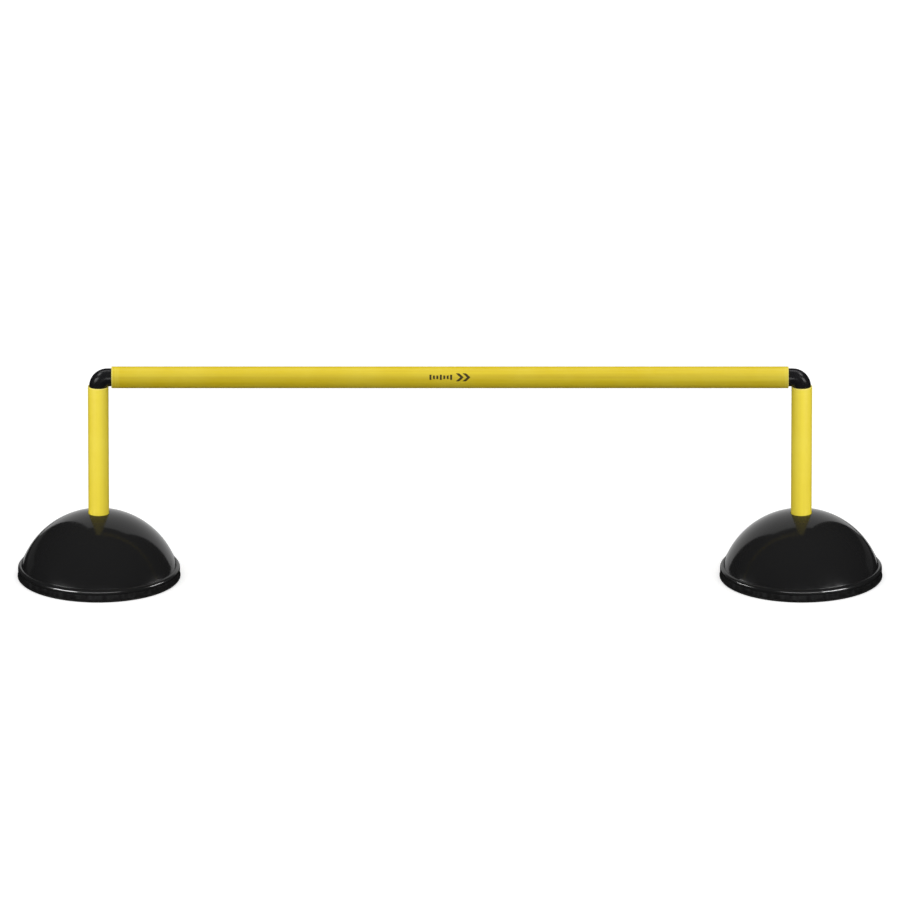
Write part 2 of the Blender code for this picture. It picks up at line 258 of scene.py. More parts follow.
class Look:
    """A Principled material with the node patterns that this object's materials need."""

    def __init__(self, name, colour, roughness, metallic=0.0, specular=0.5):
        self.material = bpy.data.materials.new(name)
        self.material.use_nodes = True
        self.nodes = self.material.node_tree.nodes
        self.links = self.material.node_tree.links
        self.shader = self.nodes["Principled BSDF"]
        self.shader.inputs["Base Color"].default_value = (*colour, 1)
        self.shader.inputs["Roughness"].default_value = roughness
        self.shader.inputs["Metallic"].default_value = metallic
        self.shader.inputs["Specular IOR Level"].default_value = specular
        self.place = self.nodes.new("ShaderNodeTexCoord").outputs["Object"]
        self.normal = None

    def noise(self, scale, stretch=(1, 1, 1), detail=4, rough=0.55, distortion=0.0):
        """A noise pattern, stretched along the axes with a small factor."""
        mapping = self.nodes.new("ShaderNodeMapping")
        mapping.inputs["Scale"].default_value = stretch
        self.links.new(self.place, mapping.inputs["Vector"])
        made = self.nodes.new("ShaderNodeTexNoise")
        made.inputs["Scale"].default_value = scale
        made.inputs["Detail"].default_value = detail
        made.inputs["Roughness"].default_value = rough
        made.inputs["Distortion"].default_value = distortion
        self.links.new(mapping.outputs["Vector"], made.inputs["Vector"])
        return made.outputs["Fac"]

    def cells(self, scale):
        """Distance from the centres of a Voronoi pattern's cells."""
        made = self.nodes.new("ShaderNodeTexVoronoi")
        made.inputs["Scale"].default_value = scale
        self.links.new(self.place, made.inputs["Vector"])
        return made.outputs["Distance"]

    def spread(self, value, low, high, to_low, to_high):
        """Map a value from one range to another, clamped."""
        made = self.nodes.new("ShaderNodeMapRange")
        limits = {"From Min": low, "From Max": high, "To Min": to_low, "To Max": to_high}
        for key, number in limits.items():
            made.inputs[key].default_value = number
        self.links.new(value, made.inputs["Value"])
        return made.outputs["Result"]

    def both(self, first, second, operation="ADD"):
        """One value from two."""
        made = self.nodes.new("ShaderNodeMath")
        made.operation = operation
        self.links.new(first, made.inputs[0])
        self.links.new(second, made.inputs[1])
        return made.outputs["Value"]

    def blend(self, value, first, second):
        """A colour between two, by a value from 0 to 1; either may be another blend."""
        made = self.nodes.new("ShaderNodeMix")
        made.data_type = "RGBA"
        self.links.new(value, made.inputs["Factor"])
        for key, colour in zip(MIX_COLOURS, (first, second)):
            if isinstance(colour, tuple):
                made.inputs[key].default_value = (*colour, 1)
            else:
                self.links.new(colour, made.inputs[key])
        return made.outputs[MIX_COLOUR_RESULT]

    def bump(self, height, distance, strength=1.0):
        """Add a height pattern to the surface; distance is its full depth in metres."""
        made = self.nodes.new("ShaderNodeBump")
        made.inputs["Strength"].default_value = strength
        made.inputs["Distance"].default_value = distance
        self.links.new(height, made.inputs["Height"])
        if self.normal:
            self.links.new(self.normal, made.inputs["Normal"])
        self.normal = made.outputs["Normal"]
        self.links.new(self.normal, self.shader.inputs["Normal"])

    def along(self, axis):
        """The place along an axis (0, 1 or 2) in the piece's own frame."""
        parts = self.nodes.new("ShaderNodeSeparateXYZ")
        self.links.new(self.place, parts.inputs[0])
        return parts.outputs[axis]

    def inset(self, axis, low, high):
        """Distance from the nearer end of a piece that runs from low to high along an axis."""
        place = self.along(axis)
        distances = []
        for end in (low, high):
            offset = self.nodes.new("ShaderNodeMath")
            offset.operation = "SUBTRACT"
            self.links.new(place, offset.inputs[0])
            offset.inputs[1].default_value = end
            distance = self.nodes.new("ShaderNodeMath")
            distance.operation = "ABSOLUTE"
            self.links.new(offset.outputs["Value"], distance.inputs[0])
            distances.append(distance.outputs["Value"])
        return self.both(*distances, "MINIMUM")

    def set(self, socket, value):
        """Drive one of the shader's sockets."""
        self.links.new(value, self.shader.inputs[socket])


# ------------------------------------------------------------ materials

YELLOW = (0.86, 0.665, 0.013)
YELLOW_DEEP = (0.78, 0.575, 0.006)
YELLOW_PALE = (0.92, 0.76, 0.072)
# a paler yellow at the tubes' mouths: a painted rim highlight
YELLOW_RIM_HIGHLIGHT = (0.95, 0.83, 0.20)
DOME_BLACK = (0.0145, 0.0145, 0.0148)
ELBOW_BLACK = (0.009, 0.009, 0.010)
INK = (0.08, 0.06, 0.010)
X_AXIS, Z_AXIS = 0, 2
POST_SHEEN_SHARE = 0.6               # least share of the pale yellow in the posts, a painted sheen that makes them paler than the bar; it is 0 in the bar
RUBBED = 13 * MM               # from a tube's end, over which handling has rubbed it
RIM_HIGHLIGHT_REACH = 1.6 * MM            # from a tube's end, over which a painted rim highlight makes it pale


def tube_plastic(name, axis, low, high, sheen_share=0.0):
    """Extruded yellow plastic: lengthwise lines along an axis, rubbed rings at the tube's ends, a painted
    rim highlight at its mouths and a painted sheen that makes the posts paler than the bar.
    """
    look = Look(name, YELLOW, 0.4)
    lengthwise = tuple(0.012 if index == axis else 1.0 for index in range(3))
    ringwise = tuple(1.0 if index == axis else 0.02 for index in range(3))
    lines = look.noise(1500, lengthwise, detail=3)
    streaks = look.noise(260, lengthwise, detail=5)
    clouds = look.noise(14, detail=5)
    handling = look.noise(60, detail=6, distortion=0.6)
    tone = look.blend(look.spread(streaks, 0.35, 0.65, 0, 1), YELLOW_DEEP, YELLOW)
    # the posts' larger share of pale yellow all over is a painted sheen
    tone = look.blend(look.spread(clouds, 0.45, 0.72, sheen_share, sheen_share + 0.35), tone, YELLOW_PALE)
    inset = look.inset(axis, low, high)
    rings = look.spread(look.noise(900, ringwise, detail=3), 0.42, 0.62, 0, 0.8)
    rubbed = look.both(rings, look.spread(inset, 4 * MM, RUBBED, 1, 0), "MULTIPLY")
    tone = look.blend(rubbed, tone, YELLOW_PALE)
    # painted rim highlight: a paler band at each mouth of the tube
    tone = look.blend(look.spread(inset, 0.5 * MM, RIM_HIGHLIGHT_REACH, 0.8, 0), tone, YELLOW_RIM_HIGHLIGHT)
    look.set("Base Color", tone)
    wear = look.both(streaks, handling, "MULTIPLY")
    look.set("Roughness", look.spread(wear, 0.1, 0.45, 0.32, 0.50))
    look.bump(lines, 0.00003, 0.6)
    look.bump(streaks, 0.00006, 0.5)
    look.bump(rubbed, 0.00005, 0.5)
    return look.material


def dome_plastic():
    """Glossy black moulded plastic with faint ripple, fine scuffs and dust."""
    look = Look("dome_black_gloss", DOME_BLACK, 0.12, specular=0.25)
    scuffs = look.noise(420, (1, 1, 0.35), detail=6, distortion=1.2)
    patches = look.noise(24, detail=5)
    wear = look.both(scuffs, patches, "MULTIPLY")
    worn_rim = look.spread(look.along(Z_AXIS), 15 * MM, 17 * MM, 0.07, 0)
    look.set("Roughness", look.both(look.spread(wear, 0.12, 0.42, 0.08, 0.17), worn_rim))
    dust = look.spread(look.noise(900, detail=8, rough=0.7), 0.66, 0.80, 0, 0.5)
    look.set("Base Color", look.blend(dust, DOME_BLACK, (0.035, 0.035, 0.036)))
    look.bump(look.noise(130, detail=2), 0.00004, 0.2)
    return look.material


def elbow_plastic():
    """Semi-gloss black injection-moulded plastic."""
    look = Look("elbow_black", ELBOW_BLACK, 0.3, specular=0.6)
    patches = look.noise(90, detail=6, distortion=0.8)
    look.set("Roughness", look.spread(patches, 0.3, 0.7, 0.16, 0.30))
    scratch = look.spread(look.noise(300, (1, 0.08, 1), detail=6), 0.60, 0.72, 0, 0.6)
    look.set("Base Color", look.blend(scratch, ELBOW_BLACK, (0.022, 0.022, 0.024)))
    look.bump(look.noise(1800, detail=3), 0.00002, 0.4)
    return look.material


def cover_plastic():
    """Semi-gloss black plastic with a fine spark-eroded grain, rubbed pale in patches."""
    look = Look("cover_black", (0.014, 0.014, 0.014), 0.36, specular=0.4)
    patches = look.noise(70, detail=6)
    look.set("Roughness", look.spread(patches, 0.3, 0.7, 0.30, 0.50))
    rubbed = look.spread(look.noise(210, (1, 1, 0.5), detail=6, distortion=0.2), 0.42, 0.70, 0, 1)
    look.set("Base Color", look.blend(rubbed, (0.012, 0.012, 0.012), (0.034, 0.034, 0.035)))
    look.bump(look.noise(2600, detail=2), 0.00005, 0.7)
    return look.material


def grip_rubber():
    """Matt black rubber with a dusty bloom."""
    look = Look("grip_rubber", (0.014, 0.014, 0.014), 0.75, specular=0.35)
    bloom = look.spread(look.noise(180, detail=7, rough=0.7), 0.42, 0.70, 0, 1)
    look.set("Base Color", look.blend(bloom, (0.011, 0.011, 0.011), (0.034, 0.033, 0.032)))
    look.set("Roughness", look.spread(bloom, 0, 1, 0.62, 0.88))
    look.bump(look.noise(1400, detail=4), 0.0001, 0.6)
    return look.material


def sleeve_plastic():
    """Grey moulded plastic of the inner socket."""
    look = Look("sleeve_grey", (0.12, 0.12, 0.125), 0.5)
    patches = look.noise(110, detail=6)
    look.set("Base Color", look.blend(patches, (0.10, 0.10, 0.105), (0.15, 0.15, 0.155)))
    look.set("Roughness", look.spread(patches, 0.3, 0.7, 0.40, 0.58))
    look.bump(look.noise(1500, detail=3), 0.00005, 0.5)
    return look.material


def ballast_concrete():
    """Cast concrete: grey paste, darker sand and small air pits."""
    look = Look("ballast_concrete", (0.36, 0.35, 0.33), 0.9, specular=0.3)
    sand = look.spread(look.cells(700), 0.1, 0.5, 0, 1)
    clouds = look.noise(40, detail=8, rough=0.65)
    paste = look.blend(clouds, (0.26, 0.25, 0.235), (0.46, 0.45, 0.43))
    look.set("Base Color", look.blend(sand, (0.20, 0.19, 0.18), paste))
    look.bump(look.spread(look.cells(160), 0.05, 0.25, 0, 1), 0.0006, 0.7)
    look.bump(clouds, 0.0008, 0.8)
    return look.material


def screw_steel():
    """Zinc-plated steel, slightly mottled, with fine turning marks."""
    look = Look("screw_zinc", (0.62, 0.62, 0.60), 0.3, metallic=1.0)
    patches = look.noise(700, detail=5)
    look.set("Base Color", look.blend(patches, (0.52, 0.53, 0.55), (0.72, 0.70, 0.62)))
    look.set("Roughness", look.spread(patches, 0.3, 0.7, 0.22, 0.42))
    look.bump(look.noise(5000, (1, 1, 0.2), detail=2), 0.00003, 0.5)
    return look.material


def print_ink():
    """Thin dark ink on the bar; the yellow shows through where it is worn."""
    look = Look("print_ink", INK, 0.5)
    worn = look.spread(look.noise(900, detail=7, rough=0.7), 0.55, 0.75, 0, 0.8)
    look.set("Base Color", look.blend(worn, INK, (0.34, 0.25, 0.015)))
    look.set("Roughness", look.spread(worn, 0, 1, 0.42, 0.55))
    return look.material


# ------------------------------------------------------------ tubes

TUBE_SIDES = 192
TUBE_ROWS_APART = 20 * MM           # rows along a tube, which keep its faces from being too thin
DIE_LINES = ((23, 0.4), (37, 1.9), (61, 3.1), (89, 5.0))     # (waves round the tube, phase)
DIE_DEPTH = 0.012 * MM
MARK_LEAN = math.radians(18.6)      # how far up the bar's front the mark is centred
INK_LIFT, INK_SINK = 0.03 * MM, 0.12 * MM           # above the bar's surface, and into it
TICKS = 7
TICK_START, TICK_STEP, TICK_WIDTH = -25 * MM, 4.2 * MM, 2.4 * MM
TALL_TICK, SHORT_TICK = 3.2 * MM, 2.2 * MM         # half their heights
TALL_EVERY = 3
CHEVRONS = 2
CHEVRON_START, CHEVRON_STEP, CHEVRON_WIDTH = 7 * MM, 8.2 * MM, 4.2 * MM
CHEVRON_HALF_HEIGHT, CHEVRON_POINT = 5.0 * MM, 5.5 * MM


def tube_mesh(name, radius, length):
    """A tube along +Z from the origin, with softly broken edges at both mouths."""
    edge, bore_edge = 0.5 * MM, 0.3 * MM
    rows = round(length / TUBE_ROWS_APART)
    stops = [2 * edge] + [length * row / rows for row in range(1, rows)] + [length - 2 * edge]
    outline = rounded([
        (TUBE_BORE, 0, bore_edge), (radius, 0, edge), *((radius, stop, 0) for stop in stops),
        (radius, length, edge), (TUBE_BORE, length, bore_edge),
        *((TUBE_BORE, stop, 0) for stop in reversed(stops)),
    ])

    def die_lines(r, z, angle):
        """Faint lengthwise lines that the extrusion die leaves on the outside."""
        if r < radius - edge:
            return r, z
        waves = sum(math.cos(count * angle + phase) - 1 for count, phase in DIE_LINES)
        return r + DIE_DEPTH * waves / 2, z

    return lathe(name, outline, TUBE_SIDES, die_lines)


def on_bar(x, up, lift):
    """A point on the bar's front: x along it, up along its round surface from the middle."""
    angle = MARK_LEAN + up / BAR_RADIUS
    radius = BAR_RADIUS + lift
    return Vector((x, -math.cos(angle) * radius, BAR_Z + math.sin(angle) * radius))


def printed(bm, rows):
    """Lay a strip on the bar as a thin closed patch; its rows are (left x, right x, up)."""
    corners = []
    for left, right, up in rows:
        top = [bm.verts.new(on_bar(x, up, INK_LIFT)) for x in (left, right)]
        foot = [bm.verts.new(on_bar(x, up, -INK_SINK)) for x in (right, left)]
        corners.append(top + foot)
    join_rings(bm, corners, closed=False)


def strip(x, width, half_height, point=0.0, steps=12):
    """Rows of an upright strip; point pushes its middle along the bar, as in a chevron."""
    rises = [half_height * (2 * step / steps - 1) for step in range(steps + 1)]
    shifts = [point * (1 - abs(rise) / half_height) for rise in rises]
    return [(x + shift, x + shift + width, rise) for rise, shift in zip(rises, shifts)]


def mark_mesh():
    """A generic printed mark: a row of plain ticks and two chevrons."""
    bm = bmesh.new()
    for tick in range(TICKS):
        half_height = TALL_TICK if tick % TALL_EVERY == 0 else SHORT_TICK
        printed(bm, strip(TICK_START + TICK_STEP * tick, TICK_WIDTH, half_height))
    for chevron in range(CHEVRONS):
        x = CHEVRON_START + CHEVRON_STEP * chevron
        printed(bm, strip(x, CHEVRON_WIDTH, CHEVRON_HALF_HEIGHT, CHEVRON_POINT))
    return as_mesh(bm, "bar_mark")


def build_bar(materials):
    """The jump bar and its mark."""
    start = (-BAR_LENGTH / 2, 0, BAR_Z)
    mesh = tube_mesh("jump_bar", BAR_RADIUS, BAR_LENGTH)
    mesh.transform(Matrix.Translation(start) @ Matrix.Rotation(math.radians(90), 4, "Y"))
    piece("jump_bar", mesh, materials["bar"], "crossbar", ["crossbar_tube"])
    piece("bar_mark", mark_mesh(), materials["ink"], "crossbar", [])


# ------------------------------------------------------------ elbows

ELBOW_SIDES = 96
ELBOW_SHARP = 40                # in place of SHARP
BEND_STEPS = 28
SPIGOT = POST_TOP - ELBOW[0].z  # its depth in a tube
LEG = POST_X - ELBOW[0].x       # from the corner to the end of the spigot in the bar
RIB_EVERY = 12                  # sides between two crush ribs
RIB_HEIGHT = 0.24 * MM
FLASH_HEIGHT = 0.10 * MM        # the mould's parting line, in the bend's own plane


def elbow_stations():
    """Centreline of a left elbow: (point, direction, share of the ribs' height, inset)."""
    up, along = Vector((0, 0, 1)), Vector((1, 0, 0))
    # a spigot from its open end inwards: (distance, share of the ribs' height, inset)
    spigot = (
        (0.0, 0, 0.8 * MM), (0.8 * MM, 0, 0.15 * MM), (4 * MM, 0, 0.05 * MM),
        (6 * MM, 1, 0.0), (SPIGOT - 5 * MM, 1, 0.0), (SPIGOT - 2 * MM, 0, 0.0),
    )
    foot = Vector((0, 0, -BEND - SPIGOT))
    stations = [(foot + up * far, up, ribs, inset) for far, ribs, inset in spigot]
    for step in range(BEND_STEPS + 1):
        angle = math.radians(90) * step / BEND_STEPS
        point = Vector((BEND * (1 - math.cos(angle)), 0, BEND * (math.sin(angle) - 1)))
        stations.append((point, up * math.cos(angle) + along * math.sin(angle), 0, 0.0))
    end = Vector((LEG, 0, 0))
    stations += [(end - along * far, along, ribs, inset) for far, ribs, inset in reversed(spigot)]
    return stations


def elbow_ring(bm, station, radius, ribbed):
    """One ring of the elbow, square to its centreline; angle 0 is the inside of the bend."""
    point, direction, ribs, inset = station
    across = Vector((0, 1, 0))
    inward = across.cross(direction)
    ring = []
    for side in range(ELBOW_SIDES):
        angle = math.tau * side / ELBOW_SIDES
        at = radius - inset
        if ribbed and (side + RIB_EVERY // 2) % RIB_EVERY == 0:
            at += RIB_HEIGHT * ribs
        if ribbed and side % (ELBOW_SIDES // 2) == 0:
            at += FLASH_HEIGHT
        ring.append(bm.verts.new(point + (inward * math.cos(angle) + across * math.sin(angle)) * at))
    return ring


def elbow_mesh():
    """A 90 degree elbow: an open bent tube whose spigots carry crush ribs."""
    bm = bmesh.new()
    stations = elbow_stations()
    outside = [elbow_ring(bm, station, ELBOW_RADIUS, True) for station in stations]
    inside = [elbow_ring(bm, station, ELBOW_BORE, False) for station in reversed(stations)]
    join_rings(bm, outside + inside)
    return as_mesh(bm, "corner_elbow", ELBOW_SHARP)


# ------------------------------------------------------------ dome bases

BASE_SIDES = 192
SMALL_SIDES = 32               # of the bosses and the screw holes


def sphere_z(sphere, r):
    """Height of a sphere about the dome's centre at distance r from the axis."""
    return DOME_CENTRE_Z + math.sqrt(sphere ** 2 - r ** 2)


def cap(sphere, r_start, r_end, steps):
    """Section of the dome between two distances from its axis."""
    start = math.degrees(math.acos(r_start / sphere))
    end = math.degrees(math.acos(r_end / sphere))
    return arc(0, DOME_CENTRE_Z, sphere, start, end, steps)


def bead_start(r, z, bead):
    """The angle, in degrees, at which a bead of that radius, centred at (r, z), leaves the dome."""
    to_bead = Vector((r, z - DOME_CENTRE_Z))
    meeting = (DOME_SPHERE ** 2 - to_bead.length_squared - bead ** 2) / (2 * to_bead.length * bead)
    return math.degrees(math.atan2(to_bead.y, to_bead.x) + math.acos(meeting))


def at_screws(mesh):
    """Four copies of a mesh, one at each screw, all upright."""
    bm = bmesh.new()
    for turn in quarter_turns():
        start = len(bm.verts)
        bm.from_mesh(mesh)
        bm.verts.ensure_lookup_table()
        place = turn @ Vector((SCREW_X, SCREW_Y, 0))
        for vert in bm.verts[start:]:
            vert.co += place
    return bm


def shell_mesh():
    """The dome: a thin cap, a rolled lip round the post hole and a bead at its foot."""
    lip, bead, foot_edge = 0.6 * MM, 3.6 * MM, 0.6 * MM
    bead_drop = 0.4 * MM       # of its top below the dome's end
    bead_r = RIM_RADIUS - bead
    bead_z = sphere_z(DOME_SPHERE, DOME_FOOT) - bead_drop - bead
    rim_bore = RIM_RADIUS - RIM_WALL
    foot = PARTING + FIT_GAP
    rim_top = foot + 2.6 * MM
    lip_r = POST_HOLE + lip
    outline = arc(lip_r, sphere_z(DOME_SPHERE, lip_r) - lip, lip, 180, 90, steps=6)
    outline += cap(DOME_SPHERE, POST_HOLE + 1.5 * lip, DOME_FOOT, steps=56)
    outline += arc(bead_r, bead_z, bead, bead_start(bead_r, bead_z, bead), 0, steps=20)
    outline += arc(RIM_RADIUS - foot_edge, foot + foot_edge, foot_edge, 0, -90, steps=5)
    outline += [(rim_bore, foot), (rim_bore, rim_top)]
    outline += cap(DOME_SPHERE - DOME_WALL, DOME_FOOT - DOME_WALL, POST_HOLE, steps=40)
    shell = lathe("dome_shell", outline, BASE_SIDES)
    return combine(shell, bosses_mesh(), "UNION")


def bosses_mesh():
    """Four screw bosses under the dome, whose tops follow the middle of its wall."""
    middle_wall = DOME_SPHERE - DOME_WALL / 2
    outside, bore, edge = 4.0 * MM, 1.6 * MM, 0.3 * MM
    foot, bore_end = SHELL[0].z, SHELL[0].z + 13.5 * MM
    top = sphere_z(middle_wall, math.hypot(SCREW_X, SCREW_Y))
    outline = rounded([
        (0, top, 0), (outside, top, 0), (outside, foot, edge), (bore, foot, edge),
        (bore, bore_end, 0), (0, bore_end, 0),
    ])
    bm = at_screws(lathe("boss", outline, SMALL_SIDES))
    for vert in bm.verts:
        if vert.co.z > (top + bore_end) / 2:
            vert.co.z = sphere_z(middle_wall, vert.co.xy.length)
    return as_mesh(bm, "bosses")


COVER_HOOPS = ((16 * MM, 22 * MM), (69 * MM, 73 * MM))     # beneath it: the hub and the outer hoop
COVER_RIBS = 12


def cover_mesh():
    """The bottom cover: a dish with a locating tongue, hoops and ribs beneath and screw holes."""
    radius = half_size(COVER).x
    under = COVER[0].z
    floor_top = under + 2.5 * MM
    tongue = RIM_RADIUS - RIM_WALL - FIT_GAP
    tongue_bore = tongue - 2.3 * MM
    tongue_top = COVER[1].z
    groove_bore, groove_outside = 95.2 * MM, 97.4 * MM
    groove_top, groove_edge = under + 2.9 * MM, 0.2 * MM
    hoop_foot, hoop_edge = under - 1.2 * MM, 0.4 * MM
    hoops = []
    for inner, outer in COVER_HOOPS:
        hoops += [(inner, under, 0), (inner, hoop_foot, hoop_edge)]
        hoops += [(outer, hoop_foot, hoop_edge), (outer, under, 0)]
    outline = rounded([
        (radius, under, 0.3 * MM), (radius, PARTING, 0.7 * MM), (tongue, PARTING, 0.3 * MM),
        (tongue, tongue_top, 0.5 * MM), (tongue_bore, tongue_top, 0.5 * MM),
        (tongue_bore, floor_top, 0.6 * MM), (0, floor_top, 0), (0, under, 0), *hoops,
        (groove_bore, under, groove_edge), (groove_bore, groove_top, groove_edge),
        (groove_outside, groove_top, groove_edge), (groove_outside, under, groove_edge),
    ])
    cover = lathe("base_cover", outline, BASE_SIDES)
    cover = combine(cover, under_ribs_mesh(under), "UNION")
    return combine(cover, cover_drills_mesh(), "DIFFERENCE")


def under_ribs_mesh(under):
    """The stiffening ribs under the cover, from its hub's wall to its outer hoop's."""
    drop, sink = 1.1 * MM, 0.9 * MM      # below the cover's floor, and into it
    start, end = 19 * MM, 71 * MM
    size = (end - start, 1.8 * MM, drop + sink)
    centre = ((start + end) / 2, 0, under + (sink - drop) / 2)
    bm = bmesh.new()
    for rib in range(COVER_RIBS):
        block(bm, size, centre, math.tau * rib / COVER_RIBS)
    return as_mesh(bm, "ribs")


def cover_drills_mesh():
    """The screw holes of the cover."""
    radius, depth = 1.7 * MM, 12 * MM
    drill = lathe("drill", [(0, 0), (radius, 0), (radius, depth), (0, depth)], SMALL_SIDES)
    return as_mesh(at_screws(drill), "drills")


SOLE_GROOVES = (91.6 * MM, 94.6 * MM, 97.0 * MM)
GROOVE_DEPTH = 0.9 * MM
GROOVE_SHAPE = (                # (distance from its middle, depth), across one groove
    (-0.7 * MM, 0), (-0.35 * MM, GROOVE_DEPTH), (0.35 * MM, GROOVE_DEPTH), (0.7 * MM, 0),
)


def ring_mesh():
    """The rubber ring: a rounded outer lip, grooves in its sole and a rib in the cover."""
    radius, bore = half_size(RING).x, 89 * MM
    top, rib_top = COVER[0].z - FIT_GAP, RING[1].z
    rib_bore, rib_outside = 95.5 * MM, 97.1 * MM
    edge, rib_root, groove_edge = 0.4 * MM, 0.2 * MM, 0.12 * MM
    corners = [(bore, 0, edge)]
    for groove in SOLE_GROOVES:
        corners += [(groove + shift, depth, groove_edge) for shift, depth in GROOVE_SHAPE]
    corners += [
        (radius - 1.4 * MM, 0, 0.7 * MM), (radius, 1.5 * MM, 0.9 * MM), (radius, top, edge),
        (rib_outside, top, rib_root), (rib_outside, rib_top, edge),
        (rib_bore, rib_top, edge), (rib_bore, top, rib_root), (bore, top, edge),
    ]
    return lathe("grip_ring", rounded(corners, steps=4), BASE_SIDES)


SLEEVE_SIDES = 180
SLEEVE_RIBS_APART, SLEEVE_RIB_WIDTH = 45, 2                # degrees
SLEEVE_RIB_HEIGHT = 0.22 * MM


def sleeve_mesh():
    """The socket: a ribbed bore with a lead-in mouth and a flanged foot."""
    outside = POST_HOLE + 2.2 * MM
    top, foot = SLEEVE[1].z, SLEEVE[0].z
    flange = half_size(SLEEVE).x
    flange_top = foot + 2.5 * MM
    floor_top = POST_FOOT - FIT_GAP
    outline = rounded([
        (outside, top, 0.4 * MM), (outside, flange_top, 0.3 * MM), (flange, flange_top, 0.6 * MM),
        (flange, foot, 0.4 * MM), (0, foot, 0), (0, floor_top, 0),
        (POST_HOLE, floor_top, 0.6 * MM), (POST_HOLE, top - 3 * MM, 0), (POST_HOLE, top - 2 * MM, 0),
        (POST_HOLE + 1.2 * MM, top, 0.3 * MM),
    ])

    def grip(r, z, angle):
        """Eight low ribs that hold the post without play."""
        in_bore = abs(r - POST_HOLE) < 0.01 * MM and z > floor_top + 2 * MM
        on_rib = round(math.degrees(angle)) % SLEEVE_RIBS_APART < SLEEVE_RIB_WIDTH
        return (r - SLEEVE_RIB_HEIGHT if in_bore and on_rib else r), z

    return lathe("socket_sleeve", outline, SLEEVE_SIDES, grip)


BALLAST_SIDES = 128
BALLAST_SINK, BALLAST_DROP = 0.5 * MM, 0.3 * MM            # of its skin, sideways and down
DENTS = 90                                                 # a metre


def ballast_mesh():
    """The cast weight, with soft edges and a slightly uneven skin."""
    radius = half_size(BALLAST).x
    foot, top = BALLAST[0].z, BALLAST[1].z
    bore = 15.8 * MM
    step_r, step_z = 24.6 * MM, foot + 2.8 * MM
    shoulder_r, shoulder_z = 60 * MM, 30 * MM
    outline = rounded([
        (bore, top, 1.2 * MM), (shoulder_r, top, 3 * MM), (radius, shoulder_z, 3 * MM),
        (radius, foot, 1.5 * MM), (step_r, foot, 0.8 * MM), (step_r, step_z, 0.5 * MM),
        (bore, step_z, 0.8 * MM),
    ], steps=4)

    def uneven(r, z, angle):
        """Push the skin in a little, except where it meets the sleeve and the cover."""
        if r < step_r or z < step_z:
            return r, z
        point = Vector((r * math.cos(angle), r * math.sin(angle), z))
        dent = (noise.noise(point * DENTS) + 1) / 2
        return r - BALLAST_SINK * dent, z - BALLAST_DROP * dent

    return lathe("ballast", outline, BALLAST_SIDES, uneven)


SCREW_SIDES = 40
THREAD_ROWS = 72


def cross_mesh(low):
    """A cross that widens downwards: the recess in a screw's head."""
    reach, half_width, depth, flare = 1.8 * MM, 0.375 * MM, 1.3 * MM, 1.25
    arm = ((reach, -half_width), (reach, half_width), (half_width, half_width))
    bm = bmesh.new()
    rows = []
    for z, scale in ((low - depth, flare), (low + depth, 1.0)):
        row = []
        for turn in quarter_turns():
            for x, y in arm:
                row.append(bm.verts.new(turn @ Vector((x * scale, y * scale, z))))
        rows.append(row)
    join_rings(bm, rows, closed=False)
    return as_mesh(bm, "cross")


def screw_mesh():
    """A pan-head screw with a cross recess below and a real thread above."""
    low, high = SCREW[0].z, SCREW[1].z
    head = half_size(SCREW).x
    head_top = low + 2.0 * MM
    pan = 1.1 * MM
    core, crest, pitch = 0.95 * MM, 1.3 * MM, 1.1 * MM
    outline = [(0, low)] + arc(head - pan, low + pan, pan, -90, 0, steps=6)
    outline += [(head, head_top), (crest, head_top), (core, head_top + 0.5 * MM)]
    thread_start, thread_end = head_top + 0.6 * MM, high - 0.9 * MM
    rise = (thread_end - thread_start) / THREAD_ROWS
    outline += [(core, thread_start + rise * row) for row in range(THREAD_ROWS + 1)]
    outline.append((0, high))

    def thread(r, z, angle):
        """Raise a helical ridge on the core."""
        if abs(r - core) > 0.001 * MM or z < thread_start:
            return r, z
        turn = (z / pitch - angle / math.tau) % 1
        ridge = max(0.0, 1 - abs(turn - 0.5) * 4)
        fade = min(1.0, (thread_end - z) / (1.5 * pitch))
        return core + (crest - core) * ridge * max(fade, 0.0), z

    screw = lathe("base_screw", outline, SCREW_SIDES, thread)
    return combine(screw, cross_mesh(low), "DIFFERENCE")


SCREW_TURN = 37     # degrees from one screw to the next, so that their recesses don't line up
SIDE_TURN = 11      # and half the difference between the two sides


def build_base(side, sign, meshes, materials):
    """One weighted base."""
    body = f"{side}_base"
    place = (sign * POST_X, 0, 0)
    for kind, material, slot in (
        ("dome_shell", "dome", "dome_plastic"), ("base_cover", "cover", "cover_plastic"),
        ("grip_ring", "rubber", "grip_rubber"), ("socket_sleeve", "sleeve", "sleeve_plastic"),
        ("ballast", "concrete", "ballast_concrete"),
    ):
        name = f"{side}_{kind}_fine"
        piece(name, meshes[kind], materials[material], body, [f"{side}_{kind}"], place)
    for number in SCREWS:
        node = f"{side}_base_screw_{number}"
        spot = middle(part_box(node))
        turn = math.radians(SCREW_TURN * number + SIDE_TURN * sign)
        piece(f"{node}_fine", meshes["screw"], materials["steel"], body, [node],
              (spot.x, spot.y, 0), turn)


def build_side(side, sign, meshes, materials):
    """One elbow, post and base."""
    turn = math.radians(90 + 90 * sign)      # the elbow is modelled as the left one
    piece(f"{side}_elbow_fine", meshes["elbow"], materials["elbow"], f"{side}_corner",
          [f"{side}_elbow"], (sign * POST_X, 0, BAR_Z), turn)
    piece(f"{side}_post", meshes["post"], materials["post"], f"{side}_post",
          [f"{side}_post_tube"], (sign * POST_X, 0, POST_FOOT))
    build_base(side, sign, meshes, materials)


